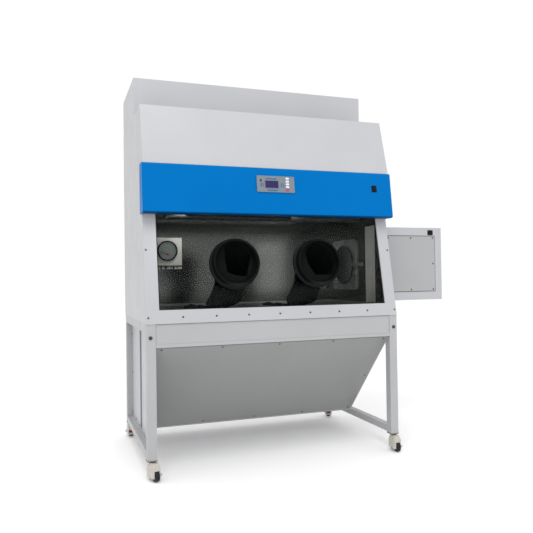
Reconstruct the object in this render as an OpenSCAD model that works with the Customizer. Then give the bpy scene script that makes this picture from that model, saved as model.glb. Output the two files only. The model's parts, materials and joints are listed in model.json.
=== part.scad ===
// Sealed laboratory glove box on a castored stand: white cabinet, blue control band,
// leaning window with two glove ports, pass box on the right-hand side.
// Cabinet coordinates: x = 0 at mid width, y = 0 at the front of the stand, z = 0 on the floor.

/* [Cabinet] */
// Width of the cabinet body
cab_w = 1500; // [1400:10:1600]
// Depth of the cabinet body
cab_d = 985; // [970:5:1005]
// Height of the roof above the floor
roof_z = 2020; // [2000:5:2060]
// Height of the exhaust plenum on the roof
plenum_h = 230; // [200:5:260]
// Depth from the stand's front to the plenum's front
plenum_y = 432; // [400:2:450]
// Thickness of the painted sheet
sheet = 3; // [2:0.5:3]

/* [Window] */
// Lean of the window face from upright, degrees
face_tilt = 11; // [10:0.5:12]
// Height of the bottom edge of the window opening
open_z = 888; // [880:1:900]
// Margin at each side of the window opening
open_side = 71; // [60:1:80]
// Thickness of the safety glass
glass_t = 8; // [6:1:8]

/* [Glove ports] */
// Distance of each port from mid width
port_x = 250; // [240:1:265]
// Height of the port centres
port_z = 1131; // [1120:1:1140]
// Outer radius of a port flange
port_flange_r = 143; // [138:1:145]
// Outer radius of a port collar
port_collar_r = 131; // [126:1:133]
// How far a port collar stands out from the window frame
port_reach = 54; // [45:1:60]

/* [Control band] */
// Height of the lower edge of the blue band
band_z = 1407; // [1400:1:1412]
// Height of the upper edge of the blue band
band_top_z = 1681; // [1676:1:1690]
// How far the band stands out past each cabinet side
band_over = 7; // [6:1:10]
// Travel of a push button
button_travel = 1.2; // [0.5:0.1:1.5]

/* [Stand] */
// Height of the seam between stand and cabinet
seam_z = 815; // [805:1:820]
// Depth of the stand over its posts
stand_d = 960; // [950:5:965]
// Side of the square post tube
tube = 50; // [45:1:50]
// Side of the lower rail tube
rail = 40; // [35:1:40]
// Height of the castors with their plates
castor_h = 104; // [102:1:106]
// Radius of a castor wheel
wheel_r = 30; // [28:0.5:30]
// Distance from a castor's swivel axis to its wheel axle
trail = 46; // [46:0.5:48]

/* [Pass box] */
// Width of the pass box beside the cabinet, without its door
pass_w = 556; // [540:2:580]
// Height of the pass box
pass_h = 491; // [480:1:500]
// Depth of the pass box
pass_d = 500; // [480:2:510]
// Distance from the stand's front to the pass box's front
pass_y = 350; // [340:1:360]
// Height of the pass box's underside
pass_z = 885; // [880:1:890]
// Inner radius of the round port between pass box and chamber
lock_r = 150; // [140:1:155]

/* [Hidden] */
$fn = 64;

// Colours
WHITE = [0.84, 0.84, 0.86];
GREY = [0.55, 0.56, 0.57];
BLUE = [0.05, 0.42, 0.75];
STEEL = [0.62, 0.63, 0.62];
BLACK = [0.06, 0.06, 0.06];
IVORY = [0.80, 0.77, 0.70];
RED = [0.60, 0.10, 0.08];

// Reference planes
half_w = cab_w / 2;
foot_y = -4;                 // front of the window frame at the seam
frame_t = 25;                // thickness of the window frame
glass_gap = 12;              // frame face to glass face
frame_top_z = 1440;          // frame's top edge, behind the band
frame_back = frame_t / cos(face_tilt);
band_y = 33;                 // front of the band near its lower edge
band_tilt = 7;
band_r = 12;                 // rounding of the band's long edges
band_back = 150;             // back edge of the band's side returns
hood_y0 = 73;                // hood front just above the band
hood_y1 = 167;               // hood front at the roof
hood_flange = 30;
cover_t = 4;                 // how far the rear cover stands out
liner_x = 715;               // inner faces of the chamber walls
liner_t = 2;
chamber_z0 = 870;            // chamber floor
chamber_z1 = 1438;           // chamber ceiling
chamber_y1 = 830;            // chamber back wall
door_gap = 0.5;

// Stand
post_x = half_w - tube / 2;
apron_z = 704;
lip_z = 686;
top_rail_z = 767;
plate_t = 4;
neck_z = 94.4;               // top of a castor housing with running clearance
slope_y1 = 522;              // lower back edge of the sloping panel
slope_z1 = 148;
slope_y0 = 8;                // upper front edge of the sloping panel
slope_angle = atan((slope_y1 - slope_y0) / (lip_z - slope_z1));
slope_len = norm([slope_y1 - slope_y0, lip_z - slope_z1]);
slope_half = half_w - tube - 2;
castor_turn = [18, 0, 180, 160];
wheel_reach = trail + wheel_r;
wheel_w = 24;
fit = 0.05;                  // running clearance of a shaft in its bore

// Pass box
pass_x1 = half_w + pass_w;
door_t = 21.5;
handle_reach = 45;
plate_gap = 0.1;             // seam between the plates of the pass box
lock_y = pass_y + pass_d / 2;
lock_z = pass_z + pass_h / 2;

// Control band layout: heights and mid-width distances on the blue face
panel_x = 1.5;
panel_z = 1586;
panel_size = [229, 95, 6];
button_x = 70;
button_z = [1620, 1603, 1586.5, 1570, 1553.5];
button_size = [21, 12];
button_out = 3;
rocker_x = 640;
rocker_z = 1582;
rocker_size = [25, 31, 12];
bezel_size = [33, 40];
rocker_pin_z = 1.5;          // tilt axis in front of the panel
pass_switch = [490, 458];    // pass box switch from the box's lower left corner

// Glove ports
port_bore_r = port_collar_r - 9;
skin_r = port_bore_r - 0.4;  // outside of a glove inside its port

// Gauge
gauge = [-600, 200, 1210];
gauge_r = 57;
pivot_drop = 20;             // needle pivot below the dial centre

// Blower
fan = [0, 450, 1760];
fan_r = 200;
fan_w = 220;

// The finished object's box, used to centre it
min_x = -half_w - band_over;
max_x = pass_x1 + door_gap + door_t + handle_reach;
min_y = tube / 2 - wheel_reach;
max_y = stand_d - tube / 2 + wheel_reach;

function face_y(z) = foot_y + (z - seam_z) * tan(face_tilt);
function band_front(z) = band_y + band_r * (1 - cos(band_tilt))
    + (z - band_z - band_r * (1 + sin(band_tilt))) * tan(band_tilt);
function hood_front(z) = hood_y0 + (z - band_top_z) * (hood_y1 - hood_y0) / (roof_z - band_top_z);
function arc(c, r, a0, a1, n = 6) = [for (i = [0:n]) c + r * [cos(a0 + (a1 - a0) * i / n),
    sin(a0 + (a1 - a0) * i / n)]];

module at_origin() translate([-(min_x + max_x) / 2, -(min_y + max_y) / 2, 0]) children();

// Extrudes a (y, z) outline from x0 to x1
module across(x0, x1) translate([x0, 0, 0]) rotate([90, 0, 90]) linear_extrude(x1 - x0) children();

// Local frames with x across, y up the face and z straight out of it
module on_face(x, z) translate([x, face_y(z), z]) rotate([90 - face_tilt, 0, 0]) children();
module on_band(x, z) translate([x, band_front(z), z]) rotate([90 - band_tilt, 0, 0]) children();
module on_slope(x, s) translate([x, slope_y1, slope_z1]) rotate([90 + slope_angle, 0, 0])
    translate([0, s, 0]) children();
module facing_front(x, y, z) translate([x, y, z]) rotate([90, 0, 0]) children();

module tube_bar(size, wall = 2.5, axis = 2) {
    inner = [for (i = [0:2]) i == axis ? size[i] + 2 : size[i] - 2 * wall];
    start = [for (i = [0:2]) i == axis ? -1 : wall];
    difference() {
        cube(size);
        translate(start) cube(inner);
    }
}

// Plate with round corners, standing on z = 0
module round_plate(w, h, t, r) {
    linear_extrude(t) {
        square([w - 2 * r, h], center = true);
        square([w, h - 2 * r], center = true);
        for (sx = [-1, 1], sy = [-1, 1])
            translate([sx * (w / 2 - r), sy * (h / 2 - r)]) circle(r, $fn = 32);
    }
}

module stadium(w, h, t) {
    linear_extrude(t) {
        square([w - h, h], center = true);
        for (s = [-1, 1]) translate([s * (w - h) / 2, 0]) circle(h / 2, $fn = 32);
    }
}

// ---- Stand ----
module stand_frame() at_origin() color(WHITE) {
    inner_x = half_w - tube;
    side_len = stand_d - 2 * tube;
    for (sx = [-1, 1], back = [0, 1])
        translate([sx * post_x - tube / 2, back * (stand_d - tube), castor_h])
            tube_bar([tube, tube, seam_z - castor_h]);
    for (sx = [-1, 1]) {
        translate([sx * (half_w - rail / 2) - rail / 2, tube, castor_h])
            tube_bar([rail, side_len, rail], axis = 1);
        translate([sx * post_x - tube / 2, tube, top_rail_z])
            tube_bar([tube, side_len, seam_z - top_rail_z], axis = 1);
    }
    for (z = [castor_h, top_rail_z])
        translate([-inner_x, stand_d - tube, z]) tube_bar([2 * inner_x, tube, rail], axis = 0);
    translate([-inner_x, 8, top_rail_z]) tube_bar([2 * inner_x, rail, rail], axis = 0);
    for (i = [0:3]) at_castor(i) {
        translate([0, 0, castor_h - plate_t]) round_plate(tube + 6, tube + 6, plate_t, 6);
        translate([0, 0, neck_z]) cylinder(h = castor_h - plate_t - neck_z + 1, r1 = 20, r2 = 25);
        translate([0, 0, neck_z - 10]) cylinder(h = 12, r = 8);
    }
}

module at_castor(i) {
    sx = i % 2 == 0 ? -1 : 1;
    y = i < 2 ? tube / 2 : stand_d - tube / 2;
    translate([sx * post_x, y, 0]) children();
}

module at_turned_castor(i) at_castor(i) rotate([0, 0, castor_turn[i]]) children();

module castor_housing(i) at_origin() at_turned_castor(i) color(IVORY) {
    difference() {
        hull() {
            translate([0, -21, 20]) round_plate(48, 78, 46, 12);
            translate([0, -21, 78]) round_plate(44, 74, 2, 14);
            translate([0, -21, 92]) round_plate(32, 62, 2, 14);
        }
        // wheel well
        hull() {
            translate([-wheel_w / 2 - 2, -wheel_reach, 0]) cube([wheel_w + 4, 60.5, wheel_r]);
            translate([-wheel_w / 2 - 2, -trail, wheel_r]) rotate([0, 90, 0])
                cylinder(h = wheel_w + 4, r = wheel_r + 0.5);
        }
        // well for the levelling dial, open to the rear
        cylinder(h = 49, r = 15.4);
        translate([-17, 3, 31]) cube([34, 30, 18]);
        // threaded hole of the levelling screw and the swivel socket
        cylinder(h = 78, r = 5 + fit);
        translate([0, 0, neck_z - 10.5]) cylinder(h = 12, r = 8 + fit);
    }
    translate([-23, -trail, wheel_r]) rotate([0, 90, 0]) cylinder(h = 46, r = 4);
    // release tab beside the wheel
    translate([23, -trail - 8, 26]) cube([9, 16, 12]);
}

module castor_wheel(i) at_origin() at_turned_castor(i) color(BLACK)
    translate([-wheel_w / 2, -trail, wheel_r]) rotate([0, 90, 0]) rotate_extrude()
        polygon([[4 + fit, 0], [wheel_r - 4, 0], [wheel_r - 1, 2.5], [wheel_r, 7], [wheel_r, wheel_w - 7],
            [wheel_r - 1, wheel_w - 2.5], [wheel_r - 4, wheel_w], [4 + fit, wheel_w]]);

module castor_dial(i) at_origin() at_turned_castor(i) color(RED)
    translate([0, 0, 34]) difference() {
        cylinder(h = 12, r = 15);
        translate([0, 0, -1]) cylinder(h = 14, r = 5 + fit);
        for (a = [0:30:330]) rotate([0, 0, a]) translate([15.6, 0, -1]) cylinder(h = 14, r = 1.6);
    }

module castor_foot(i) at_origin() at_turned_castor(i) color(GREY) {
    translate([0, 0, 9]) cylinder(h = 6, r = 14.5);
    translate([0, 0, 14]) cylinder(h = 62, r = 5);
}

module front_apron() at_origin() color(WHITE) {
    w = cab_w - 2 * tube - 2;
    translate([-w / 2, 2, apron_z]) cube([w, 2, seam_z - apron_z - 2]);
    translate([-w / 2, -1, lip_z + 3]) cube([w, 5, apron_z - lip_z]);
}

module sump_panel() at_origin() color(GREY)
    difference() {
        on_slope(0, 0) translate([-slope_half, 0, -2]) cube([2 * slope_half, slope_len, 2]);
        translate([-half_w, -20, lip_z]) cube([cab_w, 60, 20]);
    }

module sump_shell() at_origin() color(WHITE) {
    back_y = stand_d - tube - 4;
    front_y = tube + 4;
    foot_z = castor_h + rail;
    top_z = seam_z - 4;
    wall = 2;
    // right-hand side wall behind the slope
    across(slope_half - wall, slope_half)
        polygon([[front_y, lip_z - 44], [slope_y1 + 5, foot_z + wall], [back_y, foot_z + wall],
            [back_y, top_z], [front_y, top_z]]);
    // bottom, back and top
    translate([-half_w + rail - 2, slope_y1, foot_z])
        cube([cab_w - 2 * rail + 4, back_y - slope_y1, wall]);
    translate([-slope_half, back_y - wall, foot_z + wall])
        cube([2 * slope_half, wall, top_z - foot_z - wall]);
    translate([-slope_half, front_y, top_z]) cube([2 * slope_half, back_y - front_y, wall]);
}

module side_cover() at_origin() color(WHITE) {
    x = -half_w + rail - 4;
    z0 = castor_h + rail;
    h = top_rail_z - z0;
    y0 = tube + 1;
    y1 = stand_d - tube - 1;
    difference() {
        translate([x, y0, z0]) cube([2, y1 - y0, h]);
        translate([x - 1, 462, z0 + 12]) cube([4, 78, h - 24]);
    }
    // foot flange lying on the rail
    translate([x - 14, 545, z0]) cube([14, y1 - 545, 2]);
}

// ---- Cabinet shell ----
module side_outline() polygon([
    [face_y(seam_z) + frame_back + 1, seam_z], [face_y(frame_top_z) + frame_back + 1, frame_top_z],
    [face_y(frame_top_z) + frame_back + 1, frame_top_z + 3], [96, frame_top_z + 3], [96, band_top_z + 0.5],
    [hood_front(band_top_z) + sheet * 1.1, band_top_z + 0.5],
    [hood_front(roof_z - sheet) + sheet * 1.1, roof_z - sheet],
    [cab_d, roof_z - sheet], [cab_d, seam_z]]);

module left_side_panel() at_origin() color(WHITE) across(-half_w, -half_w + sheet) side_outline();

module right_side_panel() at_origin() color(WHITE) difference() {
    across(half_w - sheet, half_w) side_outline();
    translate([half_w - 20, lock_y, lock_z]) rotate([0, 90, 0]) cylinder(h = 40, r = lock_r + 4);
}

module rear_panel() at_origin() color(WHITE) {
    difference() {
        translate([-half_w + sheet, cab_d - sheet, seam_z])
            cube([cab_w - 2 * sheet, sheet, roof_z - sheet - seam_z]);
        translate([500, cab_d - 10, 1660]) cube([28, 20, 48]);
    }
    // raised cover with pressed louvres behind the blower
    translate([-560, cab_d - 1, 900]) cube([1120, 1 + cover_t, 720]);
    for (sx = [-1, 1], i = [0:6]) across(sx * 240 - 130, sx * 240 + 130)
        translate([cab_d + cover_t, 1400 + 24 * i]) polygon([[-1, 0], [7, 0], [7, 2], [0, 15], [-1, 15]]);
}

module roof_panel() at_origin() color(WHITE) difference() {
    y0 = hood_y1 + hood_flange;
    translate([-half_w, y0, roof_z - sheet]) cube([cab_w, cab_d - y0, sheet]);
    translate([-600, 500, roof_z - 10]) cube([1200, 420, 20]);
}

module exhaust_plenum() at_origin() color(WHITE) {
    w = cab_w - 2;
    d = cab_d - plenum_y;
    spigot = [0, plenum_y + 308, roof_z + plenum_h];
    difference() {
        union() {
            translate([-w / 2, plenum_y, roof_z]) cube([w, d, plenum_h]);
            translate(spigot) cylinder(h = 50, r = 125);
        }
        translate([-w / 2 + sheet, plenum_y + sheet, roof_z - 1])
            cube([w - 2 * sheet, d - 2 * sheet, plenum_h + 1 - sheet]);
        translate([spigot[0], spigot[1], roof_z + 20]) cylinder(h = plenum_h + 60, r = 122);
    }
}

module front_hood() at_origin() color(WHITE) across(-half_w, half_w)
    polygon([[hood_y0, band_top_z], [hood_y1, roof_z], [hood_y1 + hood_flange, roof_z],
        [hood_y1 + hood_flange, roof_z - sheet], [hood_front(roof_z - sheet) + sheet, roof_z - sheet],
        [hood_y0 + sheet, band_top_z]]);

// Outline of the band, shrunk by inset for its inside
function band_outline(inset) = concat(
    [[band_back + inset, band_z + inset]],
    arc([band_y + band_r, band_z + band_r], band_r - inset, 270, 180 - band_tilt),
    arc([band_y + band_r + (band_top_z - band_z - 2 * band_r) * tan(band_tilt), band_top_z - band_r],
        band_r - inset, 180 - band_tilt, 90),
    [[band_back + inset, band_top_z - inset]]);

module control_fascia() at_origin() color(BLUE) {
    w = half_w + band_over;
    difference() {
        across(-w, w) polygon(band_outline(0));
        across(-w + sheet, w - sheet) polygon(band_outline(sheet));
        translate([-w + sheet, 90, band_z + 100]) cube([2 * w - 2 * sheet, 80, 200]);
        translate([-w + sheet, face_y(band_z) - 3, band_z - 1]) cube([2 * w - 2 * sheet, 80, 110]);
        on_band(rocker_x, rocker_z) translate([-14, -17.5, -10]) cube([28, 35, 20]);
    }
}

module window_frame() at_origin() color(WHITE) {
    up = (frame_top_z - seam_z) / cos(face_tilt);
    open_up = (open_z - seam_z) / cos(face_tilt);
    open_w = cab_w - 2 * open_side;
    difference() {
        on_face(0, seam_z) translate([-half_w, -20, -frame_t]) cube([cab_w, up + 20, frame_t]);
        on_face(0, seam_z) translate([-open_w / 2, open_up, -frame_t - 1])
            cube([open_w, up, frame_t + 2]);
        on_face(0, seam_z) translate([-open_w / 2 - 16, open_up - 16, -frame_t - 1])
            cube([open_w + 32, up, frame_t + 1 - glass_gap]);
        translate([-cab_w, -60, seam_z - 60]) cube([2 * cab_w, 200, 60]);
        translate([-cab_w, -60, frame_top_z]) cube([2 * cab_w, 300, 60]);
    }
}

module window_glass() at_origin() color([0.55, 0.62, 0.62, 0.35]) {
    open_up = (open_z - seam_z) / cos(face_tilt);
    open_w = cab_w - 2 * open_side;
    up = (frame_top_z - open_z) / cos(face_tilt);
    difference() {
        on_face(0, seam_z) translate([-open_w / 2 - 15, open_up - 15, -glass_gap - glass_t])
            cube([open_w + 30, up, glass_t]);
        for (s = [-1, 1]) on_face(s * port_x, port_z)
            translate([0, 0, -glass_gap - glass_t - 5]) cylinder(h = glass_t + 10, r = port_collar_r + 0.5);
    }
}

// ---- Chamber ----
module liner_outline(inset, front)
    polygon([[face_y(chamber_z0 - liner_t) + frame_back + front, chamber_z0 - liner_t + inset],
        [face_y(chamber_z1 + liner_t) + frame_back + front, chamber_z1 + liner_t - inset],
        [chamber_y1 + liner_t - inset, chamber_z1 + liner_t - inset],
        [chamber_y1 + liner_t - inset, chamber_z0 - liner_t + inset]]);

module chamber_liner() at_origin() color(STEEL) {
    hinge_x = liner_x - 10;
    hinge_y = lock_y + 186;
    difference() {
        across(-liner_x - liner_t, liner_x + liner_t) liner_outline(0, 1);
        across(-liner_x, liner_x) liner_outline(liner_t, -60);
        translate([-640, 240, chamber_z1 - 5]) cube([1280, 480, 20]);
        translate([liner_x - 20, lock_y, lock_z]) rotate([0, 90, 0]) cylinder(h = 40, r = lock_r);
    }
    // hinge pin of the inner door with its two brackets
    translate([hinge_x, hinge_y, lock_z - 121]) cylinder(h = 242, r = 4);
    for (s = [-1, 1]) translate([hinge_x - 6, hinge_y - 6, lock_z + s * 120 - 5]) cube([16, 12, 10]);
    // keeper that the latch lever closes over
    translate([liner_x - 10, pass_y - 34, lock_z - 15]) cube([10 + liner_t, 24, 30]);
    // upright channel on the right-hand wall in front of the keeper
    translate([liner_x - 5, 172, chamber_z0]) cube([5 + liner_t, 136, 502]);
    translate([liner_x - 8, 300, chamber_z0]) cube([8 + liner_t, 8, 502]);
}

module work_tray() at_origin() color(STEEL) {
    y0 = face_y(chamber_z0) + frame_back + 30;
    y1 = chamber_y1 - 25;
    w = 2 * liner_x - 40;
    difference() {
        translate([-w / 2, y0, chamber_z0]) cube([w, y1 - y0, 16]);
        translate([-w / 2 + 2, y0 + 2, chamber_z0 + 2]) cube([w - 4, y1 - y0 - 4, 20]);
        for (i = [0:10]) translate([-500 + 100 * i - 30, y1 - 60, chamber_z0 - 1]) cube([60, 12, 20]);
    }
}

module lamp_tubes() at_origin() color([0.93, 0.95, 0.97]) {
    y = 215;
    translate([-620, y - 30, chamber_z1 - 16]) cube([1240, 60, 16]);
    for (s = [-1, 1]) {
        translate([-590, y + s * 16, chamber_z1 - 32]) rotate([0, 90, 0]) cylinder(h = 1180, r = 13);
        for (e = [-1, 1]) translate([e * 600 - 10, y + s * 16 - 10, chamber_z1 - 44]) cube([20, 20, 28]);
    }
}

module hepa_filters() at_origin() color([0.90, 0.90, 0.86]) {
    translate([-650, 230, chamber_z1 + liner_t]) cube([1300, 500, 90]);
    translate([-600, 520, roof_z + 40]) cube([1200, 400, 120]);
    // ledges that carry the exhaust filter
    for (s = [-1, 1]) translate([s * 640 - 80, 520, roof_z]) cube([160, 400, 40]);
}

module at_fan() translate(fan) rotate([0, 90, 0]) children();

module blower_housing() at_origin() color(GREY) {
    neck_z0 = chamber_z1 + liner_t + 90;
    wall = 3;
    difference() {
        union() {
            at_fan() translate([0, 0, -fan_w / 2]) cylinder(h = fan_w, r = fan_r);
            translate([-fan_w / 2, fan[1] - 100, neck_z0]) cube([fan_w, 200, fan[2] - neck_z0]);
        }
        at_fan() translate([0, 0, -fan_w / 2 + wall]) cylinder(h = fan_w - 2 * wall, r = fan_r - wall);
        translate([-fan_w / 2 + wall, fan[1] - 97, neck_z0 - 1])
            cube([fan_w - 2 * wall, 194, fan[2] - neck_z0]);
        at_fan() cylinder(h = fan_w, r = 110);
        at_fan() translate([0, 0, -fan_w]) cylinder(h = fan_w, r = 12);
    }
    // motor and its shaft
    at_fan() translate([0, 0, -fan_w / 2 - 130]) cylinder(h = 130, r = 80);
    at_fan() translate([0, 0, -fan_w / 2 - 1]) cylinder(h = 190, r = 8);
}

module blower_impeller() at_origin() color(STEEL) at_fan() difference() {
    union() {
        translate([0, 0, -80]) cylinder(h = 5, r = 160);
        translate([0, 0, 70]) difference() {
            cylinder(h = 5, r = 160);
            translate([0, 0, -1]) cylinder(h = 7, r = 125);
        }
        translate([0, 0, -80]) cylinder(h = 60, r = 25);
        for (a = [0:15:345]) rotate([0, 0, a]) translate([128, -1.5, -78]) cube([30, 3, 150]);
    }
    translate([0, 0, -90]) cylinder(h = 200, r = 8 + fit);
}

// ---- Glove ports ----
module glove_port_rings() at_origin() color(BLACK) for (s = [-1, 1]) on_face(s * port_x, port_z)
    rotate_extrude() polygon([[port_bore_r, -glass_gap - glass_t - 8],
        [port_collar_r, -glass_gap - glass_t - 8],
        [port_collar_r, -glass_gap], [port_flange_r, -glass_gap], [port_flange_r, 2],
        [port_flange_r - 6, 6], [port_collar_r + 2, 8], [port_collar_r, 10],
        [port_collar_r, port_reach], [port_bore_r, port_reach]]);

module glove_clamp_bands() at_origin() color([0.2, 0.2, 0.2]) for (s = [-1, 1]) on_face(s * port_x, port_z)
    translate([0, 0, 26]) difference() {
        cylinder(h = 12, r = port_collar_r + 6.5);
        translate([0, 0, -1]) cylinder(h = 14, r = port_collar_r + 3.5);
    }

// Glove stations: offset across, depth, height, heading, lean, half width, half thickness
arm_stations = [[0, 118, 1114, 0, 28, 112, 104], [0, 158, 1074, 0, 52, 88, 80],
    [-8, 190, 1014, 0, 72, 76, 58],
    [-20, 206, 955, 0, 80, 84, 48], [-34, 220, 908, 12, 62, 98, 30], [-48, 262, 884, 34, 18, 84, 11],
    [-84, 312, 880, 42, 0, 58, 6.8], [-112, 346, 879.6, 44, 0, 44, 6.4], [-146, 380, 880, 44, 0, 52, 7],
    [-174, 409, 881, 44, 0, 48, 7], [-198, 434, 884, 44, -8, 30, 6]];
hollow_stations = 6;         // stations that are open inside
glove_sides = 32;
sleeve_t = 3.4;

function collar_station(d, r) =
    [0, face_y(port_z) - d * cos(face_tilt), port_z + d * sin(face_tilt), 0, face_tilt, r, r];
function thinned(s) = [s[0], s[1], s[2], s[3], s[4], s[5] - sleeve_t, s[6] - sleeve_t];
function station_ring(x, s) = [for (k = [0:glove_sides - 1]) let (a = 360 * k / glove_sides,
        u = s[5] * cos(a), v = s[6] * sin(a))
    [x + s[0] + u * cos(s[3]) - v * sin(s[3]) * sin(s[4]),
        s[1] + u * sin(s[3]) + v * cos(s[3]) * sin(s[4]), s[2] + v * cos(s[4])]];

// The outer skin from the fingertips to the cuff turned over the collar, then the inner skin back
glove_stations = concat(
    [for (k = [len(arm_stations) - 1:-1:0]) arm_stations[k]],
    [collar_station(-28.6, skin_r), collar_station(port_reach + 0.4, skin_r),
     collar_station(port_reach + 0.4, port_collar_r + 0.9), collar_station(18, port_collar_r + 0.9),
     collar_station(18, port_collar_r + 3.3), collar_station(port_reach + 4, port_collar_r + 3.3),
     collar_station(port_reach + 4, skin_r - sleeve_t), collar_station(-29, skin_r - sleeve_t)],
    [for (k = [0:hollow_stations - 1]) thinned(arm_stations[k])]);

module glove(s) at_origin() color(BLACK) {
    n = glove_sides;
    m = len(glove_stations);
    polyhedron(
        points = [for (g = glove_stations) each station_ring(s * port_x, g)],
        faces = concat(
            [[for (k = [0:n - 1]) k], [for (k = [n - 1:-1:0]) (m - 1) * n + k]],
            [for (i = [0:m - 2]) for (k = [0:n - 1]) let (j = (k + 1) % n)
                [i * n + k, (i + 1) * n + k, (i + 1) * n + j, i * n + j]]));
}

module left_glove() glove(-1);
module right_glove() glove(1);

// ---- Gauge ----
module gauge_bracket() at_origin() color([0.72, 0.70, 0.66]) {
    x0 = -liner_x;
    difference() {
        union() {
            translate([x0, gauge[1], gauge[2] - 82]) cube([198, 2, 156]);
            translate([x0, gauge[1], gauge[2] - 102]) cube([2, 60, 176]);
            translate([x0, gauge[1] + 2, gauge[2] - 102]) cube([198, 2, 22]);
        }
        facing_front(gauge[0], gauge[1] + 10, gauge[2]) cylinder(h = 20, r = gauge_r - 4);
        for (i = [0:7]) translate([x0 + 40 + 18 * i, gauge[1] - 5, gauge[2] - 98]) cube([12, 20, 6]);
    }
}

module gauge_case() at_origin() color(BLACK) difference() {
    union() {
        facing_front(gauge[0], gauge[1], gauge[2]) cylinder(h = 14, r = gauge_r);
        facing_front(gauge[0], gauge[1] + 45, gauge[2]) cylinder(h = 45.5, r = gauge_r - 5);
    }
    facing_front(gauge[0], gauge[1] - 4, gauge[2]) cylinder(h = 20, r = gauge_r - 7);
    facing_front(gauge[0], gauge[1] + 4, gauge[2] - pivot_drop) cylinder(h = 10, r = 1.6 + fit);
}

module gauge_needle() at_origin() color(RED) {
    facing_front(gauge[0], gauge[1] + 3, gauge[2] - pivot_drop) cylinder(h = 11, r = 1.6);
    facing_front(gauge[0], gauge[1] - 7, gauge[2] - pivot_drop) {
        translate([0, 0, 1]) cylinder(h = 3, r = 5);
        rotate([0, 0, 70]) linear_extrude(3) polygon([[-2, -11], [2, -11], [0.8, 40], [-0.8, 40]]);
    }
}

// ---- Controls ----
module control_panel() at_origin() color([0.70, 0.71, 0.74]) difference() {
    on_band(panel_x, panel_z) round_plate(panel_size[0], panel_size[1], panel_size[2], 5);
    for (z = button_z) on_band(panel_x + button_x, z) translate([0, 0, 1.5])
        stadium(button_size[0] + 0.8, button_size[1] + 0.8, 10);
}

module button(i, tint) at_origin() color(tint) on_band(panel_x + button_x, button_z[i])
    translate([0, 0, 1.5 + button_travel + 0.6])
        stadium(button_size[0], button_size[1], panel_size[2] + button_out - 2.1 - button_travel);

// Bezel and rocker are drawn with z out of the panel and the long side along y
module bezel() difference() {
    round_plate(bezel_size[0], bezel_size[1], 3, 3);
    translate([-rocker_size[0] / 2 - 1, -rocker_size[1] / 2 - 1.4, -1])
        cube([rocker_size[0] + 2, rocker_size[1] + 2.8, 6]);
    translate([-16, 0, rocker_pin_z]) rotate([0, 90, 0]) cylinder(h = 32, r = 1.2 + fit);
}

module rocker() {
    intersection() {
        translate([-rocker_size[0] / 2, 0, -24]) rotate([0, 90, 0]) cylinder(h = rocker_size[0], r = 30);
        translate([-rocker_size[0] / 2, -rocker_size[1] / 2, -6]) cube(rocker_size);
    }
    translate([-15.5, 0, rocker_pin_z]) rotate([0, 90, 0]) cylinder(h = 31, r = 1.2);
}

module on_pass_front(p) facing_front(half_w + p[0], pass_y, pass_z + p[1]) rotate([0, 0, 90]) children();

module switch_bezels() at_origin() color(BLACK) {
    on_band(rocker_x, rocker_z) bezel();
    on_pass_front(pass_switch) bezel();
}

module power_rocker() at_origin() color(BLACK) on_band(rocker_x, rocker_z) rocker();
module passbox_rocker() at_origin() color(BLACK) on_pass_front(pass_switch) rocker();

// ---- Pass box ----
module passbox_shell() at_origin() color(WHITE) {
    inset = sheet + plate_gap;
    // front plate with the switch opening
    difference() {
        translate([half_w, pass_y, pass_z]) cube([pass_w, sheet, pass_h]);
        on_pass_front(pass_switch) translate([-14, -17.5, -10]) cube([28, 35, 20]);
    }
    // back, bottom and top plates
    translate([half_w, pass_y + pass_d - sheet, pass_z]) cube([pass_w, sheet, pass_h]);
    for (z = [pass_z, pass_z + pass_h - sheet])
        translate([half_w, pass_y + inset, z]) cube([pass_w, pass_d - 2 * inset, sheet]);
    // wall against the cabinet with the port tube
    difference() {
        union() {
            translate([half_w, pass_y + inset, pass_z + inset])
                cube([sheet, pass_d - 2 * inset, pass_h - 2 * inset]);
            translate([liner_x + liner_t, lock_y, lock_z]) rotate([0, 90, 0])
                cylinder(h = half_w - liner_x, r = lock_r + 3);
        }
        translate([liner_x, lock_y, lock_z]) rotate([0, 90, 0]) cylinder(h = 60, r = lock_r);
    }
    // hinge pin of the outer door with its brackets
    translate([pass_x1 + 12, pass_y + pass_d + 12, pass_z + 50]) cylinder(h = pass_h - 100, r = 5);
    for (z = [pass_z + 50, pass_z + pass_h - 60]) hull() {
        translate([pass_x1 + 12, pass_y + pass_d + 12, z]) cylinder(h = 10, r = 8);
        translate([pass_x1 - 10, pass_y + pass_d + plate_gap, z]) cube([8, 14, 10]);
    }
}

module passbox_cover() at_origin() color(WHITE) {
    facing_front(half_w + 333, pass_y, pass_z + 246) round_plate(380, 374, 3, 4);
}

module outer_door() at_origin() color(WHITE) {
    x0 = pass_x1 + door_gap;
    axis = [pass_x1 + 12, pass_y + pass_d + 12];
    difference() {
        union() {
            translate([x0, pass_y, pass_z]) cube([door_t, pass_d, pass_h]);
            for (z = [pass_z + 90, pass_z + pass_h - 150]) {
                translate([axis[0], axis[1], z]) cylinder(h = 60, r = 9);
                translate([x0, axis[1] - 14, z]) cube([door_t - 2, 12, 60]);
            }
        }
        translate([axis[0], axis[1], pass_z]) cylinder(h = pass_h, r = 5 + fit);
        translate([x0 - 5, lock_y, lock_z]) rotate([0, 90, 0]) cylinder(h = 60, r = 7 + fit);
    }
}

module outer_door_handle() at_origin() color(STEEL) {
    x = pass_x1 + door_gap;
    grip_r = 11;
    translate([x, lock_y, lock_z]) rotate([0, 90, 0]) cylinder(h = door_t + handle_reach - grip_r, r = 7);
    translate([x + door_t + 1, lock_y, lock_z]) rotate([0, 90, 0]) cylinder(h = 8, r = 18);
    translate([x + door_t + handle_reach - grip_r, lock_y, lock_z - 65]) cylinder(h = 130, r = grip_r);
}

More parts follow.
